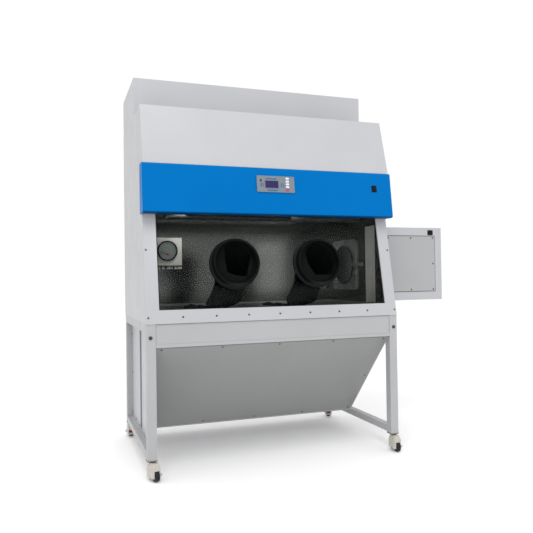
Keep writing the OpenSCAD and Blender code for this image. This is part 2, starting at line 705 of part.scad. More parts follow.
module inner_door() at_origin() color(STEEL) {
    size = 340;
    x = liner_x - door_gap - 10;
    hinge = [liner_x - 10, lock_y + 186];
    difference() {
        union() {
            translate([x, lock_y, lock_z]) rotate([0, 90, 0]) round_plate(size, size, 10, 22);
            for (s = [-1, 1]) translate([hinge[0], hinge[1], lock_z + s * 80 - 25]) {
                cylinder(h = 50, r = 8);
                translate([-4.5, -20, 0]) cube([9, 16, 50]);
            }
        }
        translate([hinge[0], hinge[1], lock_z - 150]) cylinder(h = 300, r = 4 + fit);
        translate([x - 1, lock_y, lock_z]) rotate([0, 90, 0]) cylinder(h = 5, r = 135);
        translate([x - 5, lock_y - 152, lock_z]) rotate([0, 90, 0]) cylinder(h = 30, r = 5 + fit);
    }
}

module inner_door_latch() at_origin() color(STEEL) {
    x = liner_x - door_gap - 10;
    y = lock_y - 152;
    translate([x - 12, y, lock_z]) rotate([0, 90, 0]) cylinder(h = 16.5, r = 5);
    translate([x - 12, y, lock_z]) rotate([0, 90, 0]) cylinder(h = 11, r = 13);
    translate([x - 12, y - 132, lock_z - 11]) cube([8, 132, 22]);
}

// ---- Fasteners and services ----
module screw_head(r = 5) {
    rotate_extrude() polygon([[0, 0], [r, 0], [r, r * 0.3], [r * 0.7, r * 0.55], [0, r * 0.62]]);
}

module panel_screws() at_origin() color([0.25, 0.25, 0.27]) {
    edge = half_w - 12;
    for (i = [-4:4]) on_face(edge * i / 4, 848.5) screw_head();
    for (s = [-1, 1]) on_face(s * (edge - 1), 1210) screw_head();
    for (i = [-2:2], up = [24, slope_len - 14]) on_slope(i * 334, up) screw_head();
    for (s = [-1, 1]) on_slope(s * 669, slope_len / 2 + 2) screw_head();
    for (p = [[895, 690], [895, 440], [895, 180], [740, 160], [575, 160]])
        translate([-half_w + rail - 4, p[0], p[1]]) rotate([0, -90, 0]) screw_head();
    for (i = [-1:1], j = [-1:1]) if (i != 0 || j != 0)
        facing_front(half_w + 333 + i * 175, pass_y - 3, pass_z + 246 + j * 175) screw_head();
    for (s = [-1, 1]) facing_front(s * (half_w - 22), 0, 744) screw_head(10);
    for (i = [-3:3], j = [-1:1]) if (j != 0 || abs(i) == 3)
        translate([i * 181, cab_d + cover_t, 1260 + j * 345]) rotate([-90, 0, 0]) screw_head();
}

module power_inlet() at_origin() color(BLACK) {
    translate([500, cab_d - 30, 1660]) cube([28, 30, 48]);
    difference() {
        translate([492, cab_d, 1652]) cube([44, 3, 64]);
        translate([503, cab_d - 10, 1664]) cube([22, 20, 26]);
    }
}

stand_frame();
castor_housing(0);  // castor_housing_fl
castor_housing(1);  // castor_housing_fr
castor_housing(2);  // castor_housing_rl
castor_housing(3);  // castor_housing_rr
castor_wheel(0);  // castor_wheel_fl
castor_wheel(1);  // castor_wheel_fr
castor_wheel(2);  // castor_wheel_rl
castor_wheel(3);  // castor_wheel_rr
castor_dial(0);  // castor_dial_fl
castor_dial(1);  // castor_dial_fr
castor_dial(2);  // castor_dial_rl
castor_dial(3);  // castor_dial_rr
castor_foot(0);  // castor_foot_fl
castor_foot(1);  // castor_foot_fr
castor_foot(2);  // castor_foot_rl
castor_foot(3);  // castor_foot_rr
front_apron();
sump_panel();
sump_shell();
side_cover();
left_side_panel();
right_side_panel();
rear_panel();
roof_panel();
exhaust_plenum();
front_hood();
control_fascia();
window_frame();
window_glass();
chamber_liner();
work_tray();
lamp_tubes();
hepa_filters();
blower_housing();
blower_impeller();
glove_port_rings();
glove_clamp_bands();
left_glove();
right_glove();
gauge_bracket();
gauge_case();
gauge_needle();
control_panel();
button(0, WHITE);  // button_1
button(1, WHITE);  // button_2
button(2, WHITE);  // button_3
button(3, WHITE);  // button_4
button(4, [0.80, 0.30, 0.38]);  // stop_button
switch_bezels();
power_rocker();
passbox_rocker();
passbox_shell();
passbox_cover();
outer_door();
outer_door_handle();
inner_door();
inner_door_latch();
panel_screws();
power_inlet();
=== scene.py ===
"""Looks of the laboratory glove box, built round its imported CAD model."""

import json
import math

import bmesh
import bpy
from mathutils import Matrix, Vector, noise


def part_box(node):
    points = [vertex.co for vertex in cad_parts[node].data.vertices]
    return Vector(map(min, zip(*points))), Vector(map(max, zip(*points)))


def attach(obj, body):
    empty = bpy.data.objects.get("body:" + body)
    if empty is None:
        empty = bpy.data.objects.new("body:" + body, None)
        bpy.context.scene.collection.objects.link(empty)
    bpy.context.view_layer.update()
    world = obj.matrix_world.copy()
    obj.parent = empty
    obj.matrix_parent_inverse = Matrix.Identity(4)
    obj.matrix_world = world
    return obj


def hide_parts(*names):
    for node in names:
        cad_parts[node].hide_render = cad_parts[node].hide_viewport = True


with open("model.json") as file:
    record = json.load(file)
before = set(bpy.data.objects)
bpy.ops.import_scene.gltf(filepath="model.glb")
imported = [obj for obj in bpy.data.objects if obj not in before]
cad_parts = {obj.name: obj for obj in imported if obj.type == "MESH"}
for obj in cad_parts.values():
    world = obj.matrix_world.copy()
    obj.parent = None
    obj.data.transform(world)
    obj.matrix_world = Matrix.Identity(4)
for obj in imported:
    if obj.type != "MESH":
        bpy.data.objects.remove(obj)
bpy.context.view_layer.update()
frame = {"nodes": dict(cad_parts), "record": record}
NODES = frame["nodes"]

# ---------------------------------------------------------------- places
FRAME_LO, FRAME_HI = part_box("window_frame")
MID_X = (FRAME_LO.x + FRAME_HI.x) / 2
FRONT_Y = FRAME_LO.y + 0.004
LEAN = math.radians(11)
BAND_LEAN = math.radians(7)
PORT_X, PORT_Z = 250, 1131
SEAM_Z, FACE_AT_SEAM = 815, -4
BAND_Y, BAND_Z, BAND_ROUND = 33, 1407, 12


def P(x, y, z):
    """A point in the row frame from cabinet millimetres."""
    return Vector((MID_X + x / 1000, FRONT_Y + y / 1000, z / 1000))


def face_y(z):
    """Depth of the window frame's front face at height z, in cabinet millimetres."""
    return FACE_AT_SEAM + (z - SEAM_Z) * math.tan(LEAN)


def band_y(z):
    """Depth of the control band's front face at height z, above its rounded lower edge."""
    straight = BAND_Z + BAND_ROUND * (1 + math.sin(BAND_LEAN))
    return BAND_Y + BAND_ROUND * (1 - math.cos(BAND_LEAN)) + (z - straight) * math.tan(BAND_LEAN)


def facing(at, lean=0.0):
    """Matrix with x to the right, y up a face that leans back, z straight out of it."""
    c, s = math.cos(lean), math.sin(lean)
    m = Matrix(((1, 0, 0), (0, s, -c), (0, c, s))).to_4x4()
    m.translation = at
    return m


def facing_left(at):
    """Matrix with x to the front, y up and z to the left."""
    m = Matrix(((0, 0, -1), (-1, 0, 0), (0, 1, 0))).to_4x4()
    m.translation = at
    return m


def on_window(x, z):
    return facing(P(x, face_y(z), z), LEAN)


def on_band(x, z):
    return facing(P(x, band_y(z), z), BAND_LEAN)


# ---------------------------------------------------------------- materials
class Look:
    """A procedural material, built from nodes that read object coordinates."""

    def __init__(self, name):
        self.mat = bpy.data.materials.new(name)
        self.mat.use_nodes = True
        self.tree = self.mat.node_tree
        self.tree.nodes.clear()
        self.out = self.make("OutputMaterial")
        self.where = self.make("TexCoord").outputs["Object"]

    def make(self, kind, **settings):
        n = self.tree.nodes.new("ShaderNode" + kind)
        for k, v in settings.items():
            setattr(n, k, v)
        return n

    def join(self, a, b):
        self.tree.links.new(a, b)

    def stretched(self, scale):
        n = self.make("Mapping")
        n.inputs["Scale"].default_value = scale
        self.join(self.where, n.inputs["Vector"])
        return n.outputs["Vector"]

    def noise(self, scale, detail=3.0, rough=0.5, at=None):
        n = self.make("TexNoise")
        n.inputs["Scale"].default_value = scale
        n.inputs["Detail"].default_value = detail
        n.inputs["Roughness"].default_value = rough
        self.join(at or self.where, n.inputs["Vector"])
        return n.outputs["Fac"]

    def cells(self, scale):
        n = self.make("TexVoronoi", feature="F1")
        n.inputs["Scale"].default_value = scale
        self.join(self.where, n.inputs["Vector"])
        return n.outputs["Distance"]

    def ramp(self, fac, *stops):
        n = self.make("ValToRGB")
        e = n.color_ramp.elements
        while len(e) < len(stops):
            e.new(0.5)
        for k, (pos, colour) in enumerate(stops):
            e[k].position = pos
            e[k].color = (*colour, 1)
        self.join(fac, n.inputs["Fac"])
        return n.outputs["Color"]

    def span(self, fac, lo, hi, a=0.3, b=0.7):
        n = self.make("MapRange")
        for k, v in zip(("From Min", "From Max", "To Min", "To Max"), (a, b, lo, hi)):
            n.inputs[k].default_value = v
        self.join(fac, n.inputs["Value"])
        return n.outputs["Result"]

    def blend(self, fac, a, b):
        """Colour a where fac is 0 and b where it is 1; each is a socket or a colour."""
        n = self.make("Mix", data_type="RGBA")
        self.join(fac, n.inputs["Factor"])
        for key, v in ((6, a), (7, b)):  # the colour inputs A and B of the node
            if isinstance(v, tuple):
                n.inputs[key].default_value = (*v, 1)
            else:
                self.join(v, n.inputs[key])
        return n.outputs[2]

    def math(self, op, a, b=0.0):
        n = self.make("Math", operation=op)
        for k, v in enumerate((a, b)):
            if isinstance(v, (int, float)):
                n.inputs[k].default_value = v
            else:
                self.join(v, n.inputs[k])
        return n.outputs[0]

    def axis(self, socket, which):
        n = self.make("SeparateXYZ")
        self.join(socket, n.inputs[0])
        return n.outputs[which]

    def normal_z(self):
        return self.axis(self.make("NewGeometry").outputs["Normal"], "Z")

    def bump(self, height, distance, strength=1.0, under=None):
        n = self.make("Bump")
        n.inputs["Distance"].default_value = distance
        n.inputs["Strength"].default_value = strength
        self.join(height, n.inputs["Height"])
        if under is not None:
            self.join(under, n.inputs["Normal"])
        return n.outputs["Normal"]

    def shader(self, base, rough, normal=None, **fixed):
        n = self.make("BsdfPrincipled")
        if isinstance(base, tuple):
            n.inputs["Base Color"].default_value = (*base, 1)
        else:
            self.join(base, n.inputs["Base Color"])
        if isinstance(rough, (int, float)):
            n.inputs["Roughness"].default_value = rough
        else:
            self.join(rough, n.inputs["Roughness"])
        if normal is not None:
            self.join(normal, n.inputs["Normal"])
        for k, v in fixed.items():
            n.inputs[k.replace("_", " ")].default_value = v
        return n.outputs["BSDF"]

    def done(self, surface):
        self.join(surface, self.out.inputs["Surface"])
        return self.mat


def tones(colour, spread):
    lo = tuple(max(0.0, c * (1 - spread)) for c in colour)
    hi = tuple(min(1.0, c * (1 + spread)) for c in colour)
    return lo, hi


def paint(name, colour, spread=0.025, rough=(0.34, 0.46), peel=0.00002, dust=0.0, spec=0.4, under=None):
    """Sprayed or powder-coated sheet: slow tone drift, orange-peel bump, dust on ledges, and painted shade on
    downward faces when a colour is given for them.
    """
    m = Look(name)
    lo, hi = tones(colour, spread)
    base = m.ramp(m.noise(3.2, 4), (0.3, lo), (0.7, hi))
    if dust:
        up = m.math("MULTIPLY", m.span(m.normal_z(), 0, dust, 0.6, 1.0), m.noise(14, 5))
        base = m.blend(up, base, (0.42, 0.40, 0.37))
    # painted shade: faces that turn downward are blended toward the darker colour passed as under
    if under:
        base = m.blend(m.span(m.normal_z(), 1, 0, -0.8, -0.15), base, under)
    gloss = m.span(m.noise(9, 4, 0.6), *rough)
    return m.done(m.shader(base, gloss, m.bump(m.noise(620, 2), peel), Specular_IOR_Level=spec))


def stand_paint():
    """The stand's coat: a darker copy of the white coat, as painted shade for its upright posts and apron, with
    the dark plated castor plates below it and scuffs near the floor.
    """
    m = Look("stand_shaded_coat")
    # painted shade: the white coat's tone lowered for the stand's upright faces
    lo, hi = tones((0.400, 0.403, 0.414), 0.03)
    base = m.ramp(m.noise(3.2, 4), (0.3, lo), (0.7, hi))
    height = m.axis(m.where, "Z")
    low = m.span(height, 0.5, 0.0, 0.10, 0.42)
    scuff = m.math("MULTIPLY", low, m.span(m.noise(38, 6, 0.7), 0.0, 0.9, 0.52, 0.74))
    base = m.blend(scuff, base, (0.36, 0.345, 0.32))
    plated = m.span(height, 1.0, 0.0, 0.1038, 0.1042)
    plate = m.ramp(m.noise(60, 5), (0.35, (0.085, 0.078, 0.055)), (0.7, (0.17, 0.155, 0.11)))
    base = m.blend(plated, base, plate)
    gloss = m.span(m.noise(9, 4, 0.6), 0.36, 0.5)
    return m.done(m.shader(base, gloss, m.bump(m.noise(620, 2), 0.00002), Specular_IOR_Level=0.4))


def brushed(name, colour, rough=(0.22, 0.36), grain=0.00003, spread=0.10):
    """Satin stainless steel: fine lines along the sheet, faint clouding, wiped marks."""
    m = Look(name)
    upright = m.noise(1.0, 3, 0.6, m.stretched((5, 5, 900)))
    flat = m.noise(1.0, 3, 0.6, m.stretched((5, 900, 5)))
    level = m.math("ABSOLUTE", m.normal_z())
    n = m.make("Mix", data_type="FLOAT")
    m.join(m.span(level, 0, 1, 0.4, 0.6), n.inputs["Factor"])
    m.join(upright, n.inputs[2])
    m.join(flat, n.inputs[3])
    lines = n.outputs[0]
    lo, hi = tones(colour, spread)
    cloud = m.noise(4.5, 5, 0.6)
    base = m.blend(m.span(lines, 0, 1), m.ramp(cloud, (0.3, lo), (0.75, hi)), hi)
    gloss = m.math("ADD", m.span(lines, *rough), m.span(cloud, 0.0, 0.07))
    return m.done(m.shader(base, gloss, m.bump(lines, grain), Metallic=1.0, Anisotropic=0.35))


def plastic(name, colour, rough=(0.3, 0.42), grain=0.00003, spread=0.06, scale=900, coat=0.0, spec=0.4):
    m = Look(name)
    lo, hi = tones(colour, spread)
    base = m.ramp(m.noise(22, 4), (0.3, lo), (0.7, hi))
    gloss = m.span(m.noise(40, 4, 0.6), *rough)
    return m.done(m.shader(base, gloss, m.bump(m.cells(scale), grain), Coat_Weight=coat, Coat_Roughness=0.12,
                           Specular_IOR_Level=spec))


def rubber(name, colour, rough=(0.36, 0.56), wrinkle=0.00015, painted_veil=None):
    """Moulded sheet rubber: powdery bloom in patches, fine creases and pores; its low parts are painted lighter, a
    painted reflection standing for the haze the window pane lays over the hanging sleeves.
    """
    m = Look(name)
    lo, hi = tones(colour, 0.2)
    bloom = m.noise(26, 6, 0.65)
    base = m.ramp(bloom, (0.35, lo), (0.62, hi), (0.85, tuple(c * 1.8 + 0.004 for c in colour)))
    if painted_veil:
        # painted reflection: below about a metre the sleeves are blended toward a lighter grey that stands for the
        # pane's reflected haze
        inside = m.span(m.axis(m.where, "Z"), 1, 0, 0.98, 1.03)
        veil_colour = m.ramp(bloom, (0.35, tones(painted_veil, 0.2)[0]), (0.8, tones(painted_veil, 0.3)[1]))
        base = m.blend(inside, base, veil_colour)
    gloss = m.span(bloom, *rough)
    crease = m.bump(m.noise(90, 2, 0.5), wrinkle, 0.6)
    return m.done(m.shader(base, gloss, m.bump(m.noise(900, 2), 0.00001, 0.6, crease), Specular_IOR_Level=0.05))


def window_look():
    """Clear laminated pane: see-through with a faint grey-green tint, wiped smears and a mirror skin."""
    m = Look("window_pane")
    smear = m.noise(1.0, 5, 0.6, m.stretched((5, 5, 11)))
    skin = m.shader((0.02, 0.026, 0.025), m.span(smear, 0.015, 0.05), Specular_IOR_Level=0.5)
    clear = m.make("BsdfTransparent")
    clear.inputs["Color"].default_value = (0.83, 0.84, 0.835, 1)
    edge = m.make("Fresnel")
    edge.inputs["IOR"].default_value = 1.38
    mix = m.make("MixShader")
    m.join(m.math("ADD", edge.outputs[0], m.span(smear, 0.004, 0.022)), mix.inputs[0])
    m.join(clear.outputs[0], mix.inputs[1])
    m.join(skin, mix.inputs[2])
    return m.done(mix.outputs[0])


def lens_look():
    m = Look("gauge_lens_glass")
    skin = m.shader((0.02, 0.02, 0.02), m.span(m.noise(60, 4), 0.01, 0.05))
    clear = m.make("BsdfTransparent")
    clear.inputs["Color"].default_value = (0.92, 0.94, 0.94, 1)
    edge = m.make("Fresnel")
    edge.inputs["IOR"].default_value = 1.45
    mix = m.make("MixShader")
    m.join(edge.outputs[0], mix.inputs[0])
    m.join(clear.outputs[0], mix.inputs[1])
    m.join(skin, mix.inputs[2])
    return m.done(mix.outputs[0])


def screen_look():
    """Liquid-crystal display: deep blue film with lit rows of blank cells behind glossy plastic."""
    m = Look("display_film")
    rows = m.make("TexWave", wave_type="BANDS", bands_direction="Z")
    rows.inputs["Scale"].default_value = 62
    rows.inputs["Distortion"].default_value = 0
    m.join(m.where, rows.inputs["Vector"])
    cells = m.span(m.noise(1.0, 1, 0.5, m.stretched((330, 330, 120))), 0, 1, 0.5, 0.56)
    lit = m.math("MULTIPLY", m.span(rows.outputs["Fac"], 0, 1, 0.55, 0.62), cells)
    base = m.ramp(m.noise(30, 3), (0.3, (0.016, 0.024, 0.085)), (0.7, (0.026, 0.024, 0.090)))
    base = m.blend(m.math("MULTIPLY", lit, 0.35), base, (0.16, 0.05, 0.16))
    return m.done(m.shader(base, m.span(m.noise(80, 3), 0.10, 0.18), Specular_IOR_Level=0.12))


WHITE = (0.448, 0.452, 0.470)
looks = {
    "white_paint": paint("white_coat", WHITE, dust=0.5),
    # painted shade: this grey stands for the shade on the sloped sump panel, which faces down and forward
    "grey_paint": paint("shaded_grey_coat", (0.262, 0.266, 0.264), dust=0.3),
    # the darker blue on the band's downward-facing rounded lower edge is painted shade
    "blue_paint": paint("blue_coat", (0.0, 0.140, 0.435), 0.03, (0.30, 0.38), 0.000008, spec=0.03,
                        under=(0.0, 0.045, 0.15)),
    "stainless": brushed("chamber_steel", (0.205, 0.211, 0.202), (0.15, 0.21), 0.000003, 0.04),
    "clear_glass": window_look(),
    "black_plastic": plastic("black_moulding", (0.010, 0.011, 0.012), (0.32, 0.44), spec=0.07),
    # the lighter grey given for the low sleeves is a painted reflection of the pane's haze
    "black_rubber": rubber("glove_rubber", (0.0045, 0.0052, 0.0052), (0.5, 0.66), painted_veil=(0.040, 0.044, 0.044)),
    "ivory_plastic": plastic("ivory_nylon", (0.50, 0.475, 0.43), (0.28, 0.40), 0.00003, 0.05),
    "red_plastic": plastic("red_dial", (0.24, 0.018, 0.012), (0.3, 0.4)),
    "castor_tread": plastic("nylon_tread", (0.008, 0.008, 0.009), (0.16, 0.28), 0.00003, 0.15, 500, spec=0.3),
    "white_button": plastic("white_key", (0.66, 0.70, 0.76), (0.3, 0.4), 0.00001),
    "red_button": plastic("red_key", (0.50, 0.045, 0.13), (0.3, 0.4), 0.00001),
    "panel_grey": plastic("key_film", (0.175, 0.20, 0.225), (0.38, 0.5), 0.00002, 0.05),
    "filter_media": plastic("filter_cassette", (0.74, 0.74, 0.70), (0.6, 0.8), 0.0006, 0.05, 160),
    "lamp_glass": plastic("opal_tube", (0.16, 0.17, 0.17), (0.2, 0.3), 0.00001),
    "beige_plate": paint("bracket_coat", (0.72, 0.70, 0.65)),
    "needle_red": paint("needle_coat", (0.50, 0.03, 0.02)),
    "screw_steel": brushed("plated_screw", (0.07, 0.07, 0.085), (0.28, 0.42), 0.00001),
}
# painted highlight: the steel channel on the right wall gets a light grey diffuse coat so that it shows the bright
# sheen of its steel
looks["channel"] = paint("channel_painted_highlight", (0.46, 0.455, 0.43), 0.25, (0.3, 0.5))
# painted shade: the pass-box cover is a darker copy of the white coat, for the shade on its upright face
looks["cover"] = paint("cover_shaded_coat", (0.365, 0.37, 0.38))
looks["recess"] = paint("recess_coat", (0.30, 0.33, 0.37))
# the stand frame and apron take this darker copy of the white coat as painted shade
STAND = stand_paint()
TRAY = brushed("tray_steel", (0.44, 0.45, 0.43), (0.26, 0.40))
HANDLE = brushed("handle_steel", (0.58, 0.58, 0.57), (0.2, 0.32))
SCREEN = screen_look()
LENS = lens_look()
LABEL = plastic("blue_label_film", (0.035, 0.115, 0.30), (0.35, 0.5), 0.00001, 0.1)
DIAL = plastic("dial_enamel", (0.86, 0.85, 0.82), (0.35, 0.5), 0.00001, 0.03)
INK = plastic("dial_ink", (0.02, 0.02, 0.022), (0.4, 0.5), 0.00001, 0.1)
DARK_PANE = plastic("smoked_pane", (0.012, 0.017, 0.018), (0.08, 0.16), 0.00001, 0.1, coat=0.6)
# black rubber for the window gasket, also used as painted shade: the shade line at the window's edge and the
# pass-box cover's shadow gap
SEAL_AND_SHADE = rubber("seal_and_shade_rubber", (0.014, 0.014, 0.014), (0.5, 0.7), 0.0001)

SLOT_OF = {row["node"]: row["material_slot"] for row in frame["record"]["subparts"]}
SPECIAL = {"stand_frame": STAND, "front_apron": STAND, "passbox_cover": looks["cover"], "work_tray": TRAY,
           "outer_door_handle": HANDLE, "inner_door": HANDLE, "inner_door_latch": HANDLE}
for node, obj in NODES.items():
    obj.data.materials.clear()
    obj.data.materials.append(SPECIAL.get(node, looks[SLOT_OF[node]]))


# ---------------------------------------------------------------- softened CAD edges
def soften(width, *nodes, segments=2, angle=32):
    """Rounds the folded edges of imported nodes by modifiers, which leave their meshes as they are."""
    for node in nodes:
        obj = NODES[node]
        weld = obj.modifiers.new("weld", "WELD")
        weld.merge_threshold = 0.00002
        bevel = obj.modifiers.new("edge", "BEVEL")
        bevel.width = width / 1000
        bevel.segments = segments
        bevel.limit_method = "ANGLE"
        bevel.angle_limit = math.radians(angle)
        bevel.use_clamp_overlap = True
        even = obj.modifiers.new("normals", "WEIGHTED_NORMAL")
        even.keep_sharp = False
        even.weight = 90


# ---------------------------------------------------------------- mesh helpers
def piece(name, verts, faces, mat, slot, body="root", at=None, bevel=0.0, sharp=35):
    """Makes a mesh object from vertices and faces in metres, and rides it on a body."""
    me = bpy.data.meshes.new(name)
    me.from_pydata([tuple(v) for v in verts], [], faces)
    if at is not None:
        me.transform(at)
    bm = bmesh.new()
    bm.from_mesh(me)
    bmesh.ops.remove_doubles(bm, verts=bm.verts, dist=1e-6)
    bmesh.ops.recalc_face_normals(bm, faces=bm.faces)
    bm.to_mesh(me)
    bm.free()
    me.shade_smooth()
    me.set_sharp_from_angle(angle=math.radians(sharp))
    me.materials.append(mat)
    obj = bpy.data.objects.new(name, me)
    bpy.context.scene.collection.objects.link(obj)
    if bevel:
        b = obj.modifiers.new("edge", "BEVEL")
        b.width = bevel / 1000
        b.segments = 3
        b.limit_method = "ANGLE"
        b.angle_limit = math.radians(40)
        b.harden_normals = False
    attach(obj, body)
    return obj


def lathe(profile, n=64):
    """Turns (radius, height) pairs in millimetres round local z; ends at radius 0 are closed to a point."""
    verts, faces, rings = [], [], []
    for r, h in profile:
        if r < 1e-6:
            rings.append([len(verts)] * n)
            verts.append((0, 0, h / 1000))
        else:
            rings.append(list(range(len(verts), len(verts) + n)))
            verts += [(r / 1000 * math.cos(2 * math.pi * k / n), r / 1000 * math.sin(2 * math.pi * k / n),
                       h / 1000) for k in range(n)]
    for a, b in zip(rings, rings[1:]):
        for k in range(n):
            q = [a[k], a[(k + 1) % n], b[(k + 1) % n], b[k]]
            q = [v for i, v in enumerate(q) if v not in q[:i]]
            if len(q) > 2:
                faces.append(q)
    return verts, faces


def prism(outline, z0, z1):
    """Extrudes a flat outline in millimetres from height z0 to z1."""
    n = len(outline)
    verts = [(x / 1000, y / 1000, z / 1000) for z in (z0, z1) for x, y in outline]
    faces = [list(range(n))[::-1], list(range(n, 2 * n))]
    faces += [[k, (k + 1) % n, n + (k + 1) % n, n + k] for k in range(n)]
    return verts, faces


def round_rect(w, h, r, n=6, cx=0.0, cy=0.0):
    pts = []
    for sx, sy, a0 in ((1, 1, 0), (-1, 1, 90), (-1, -1, 180), (1, -1, 270)):
        for k in range(n + 1):
            a = math.radians(a0 + 90 * k / n)
            pts.append((cx + sx * (w / 2 - r) + r * math.cos(a), cy + sy * (h / 2 - r) + r * math.sin(a)))
    return pts


def merged(parts):
    verts, faces = [], []
    for v, f in parts:
        base = len(verts)
        verts += list(v)
        faces += [[i + base for i in q] for q in f]
    return verts, faces


def moved(part, m):
    return [m @ Vector(v) for v in part[0]], part[1]


def frame_strip(outer, inner, z0, z1):
    """A closed strip between two outlines that have the same number of points."""
    n = len(outer)
    verts = [(x / 1000, y / 1000, z / 1000) for z in (z0, z1) for ring in (outer, inner) for x, y in ring]
    faces = []
    for k in range(n):
        j = (k + 1) % n
        faces += [[k, j, n + j, n + k], [2 * n + k, 2 * n + j, 3 * n + j, 3 * n + k],
                  [k, j, 2 * n + j, 2 * n + k], [n + k, n + j, 3 * n + j, 3 * n + k]]
    return verts, faces


# ---------------------------------------------------------------- gloves
STATIONS = [(0, 86, 1125, 0, 11, 120, 120), (0, 118, 1114, 0, 28, 113, 105), (2, 158, 1074, 0, 52, 98, 81),
            (0, 190, 1014, 0, 72, 92, 60), (-10, 206, 955, 0, 80, 99, 49), (-30, 220, 908, 12, 62, 108, 30),
            (-48, 262, 884, 34, 18, 84, 11), (-84, 312, 880, 42, 0, 58, 6.8), (-112, 346, 879.6, 44, 0, 44, 6.4)]
COLLAR_R, BORE_R = 131, 122
RING_N = 120


def spline(rows, t):
    """Catmull-Rom through rows of numbers; t runs from 0 to len(rows) - 1."""
    i = min(int(t), len(rows) - 2)
    f = t - i
    p0, p1, p2, p3 = (rows[max(i - 1, 0)], rows[i], rows[i + 1], rows[min(i + 2, len(rows) - 1)])
    return [0.5 * (2 * b + (c - a) * f + (2 * a - 5 * b + 4 * c - d) * f * f + (3 * b - a - 3 * c + d) * f ** 3)
            for a, b, c, d in zip(p0, p1, p2, p3)]


def polygon_radius(corners, angle):
    """Distance from the centre to a polygon of (x, y) corners, in the direction of angle."""
    d = Vector((math.cos(angle), math.sin(angle)))
    best = None
    for k, a in enumerate(corners):
        b = corners[(k + 1) % len(corners)]
        ex, ey = b[0] - a[0], b[1] - a[1]
        det = d.x * (-ey) + d.y * ex
        if abs(det) < 1e-9:
            continue
        t = (a[0] * (-ey) + a[1] * ex) / det
        u = (d.x * a[1] - d.y * a[0]) / det
        if t > 0 and -1e-6 <= u <= 1 + 1e-6:
            best = t if best is None else min(best, t)
    return best


def mouth_rings(port, corners, centre, depth):
    """Rings of the glove from its cuff on the collar to the folded mouth inside the port."""
    m = on_window(port, PORT_Z)
    rings = []

    def ring(w, radius):
        row = []
        for k in range(RING_N):
            a = 2 * math.pi * k / RING_N
            r, cx, cy = radius(a)
            row.append(m @ Vector(((cx + r * math.cos(a)) / 1000, (cy + r * math.sin(a)) / 1000, w / 1000)))
        rings.append(row)

    ripple = lambda a, w: 0.35 * math.sin(5 * a + w * 0.11) + 0.25 * math.sin(11 * a - w * 0.2)
    for w, r in ((17.5, 1.8), (17.2, 3.2), (18.6, 4.0), (20.4, 3.4), (21.6, 2.4), (24, 2.2)):
        ring(w, lambda a, r=r: (COLLAR_R + r, 0, 0))
    for w in (30, 36, 40, 44, 48, 52):
        ring(w, lambda a, w=w: (COLLAR_R + 2.2 + max(0.0, (w - 40) / 12) * ripple(a, w), 0, 0))
    for w, r in ((54.5, 10.9), (56.6, 9.6), (57.8, 7.4), (58.0, 4.4), (57.2, 1.6), (55.2, -0.4), (52.0, -1.5)):
        ring(w, lambda a, w=w, r=r: (BORE_R + r + 0.4 * ripple(a, w), 0, 0))
    steps = 22
    for i in range(1, steps + 1):
        f = i / steps
        e = f ** 2.2
        w = 52 - (1 - (1 - f) ** 1.7) * (52 + depth)

        def shape(a, e=e, w=w, f=f):
            full = BORE_R - 1.5 - 1.5 * f
            reach = polygon_radius(corners, a)
            fold = min(full, reach)
            r = full + (fold - full) * e
            return r + 0.4 * ripple(a, w) * (1 - f), centre[0] * e, centre[1] * e
        ring(w, shape)
    return rings


def sleeve_rings(port, corners, centre, depth, seed):
    """Rings from the folded mouth down to the wrist, creased as a hanging rubber sleeve."""
    m = on_window(port, PORT_Z)
    start = []
    for k in range(RING_N):
        a = 2 * math.pi * k / RING_N
        r = min(BORE_R - 3, polygon_radius(corners, a))
        start.append(m @ Vector(((centre[0] + r * math.cos(a)) / 1000, (centre[1] + r * math.sin(a)) / 1000,
                                 -depth / 1000)))
    rings = []
    last = len(STATIONS) - 1
    count = 84
    for i in range(1, count + 1):
        t = 0.35 + (last - 0.35) * i / count
        dx, y, z, head, lean, rx, rz = spline(STATIONS, t)
        h, l = math.radians(head), math.radians(lean)
        side = Vector((math.cos(h), math.sin(h), 0))
        up = Vector((-math.sin(h) * math.sin(l), math.cos(h) * math.sin(l), math.cos(l)))
        c = P(port + dx, y, z)
        settle = min(1.0, i / 22) ** 1.3
        row = []
        for k in range(RING_N):
            a = 2 * math.pi * k / RING_N
            s = i / count
            hang = 0.5 + 0.5 * math.cos(2 * math.pi * (s - 0.35))
            crease = (0.055 * math.sin(3 * a + 5 * s + seed) + 0.045 * math.sin(5 * a - 9 * s + 2 * seed)
                      + 0.03 * math.sin(8 * a + 14 * s + seed)) * hang
            puff = 0.05 * noise.noise(Vector((math.cos(a) * 1.6, math.sin(a) * 1.6, s * 9 + seed * 3)))
            f = (1 - 0.05 + crease + puff) / 1000
            p = c + side * (rx * f * math.cos(a)) + up * (rz * f * math.sin(a))
            row.append(start[k].lerp(p, settle) if settle < 1 else p)
        rings.append(row)
    return rings


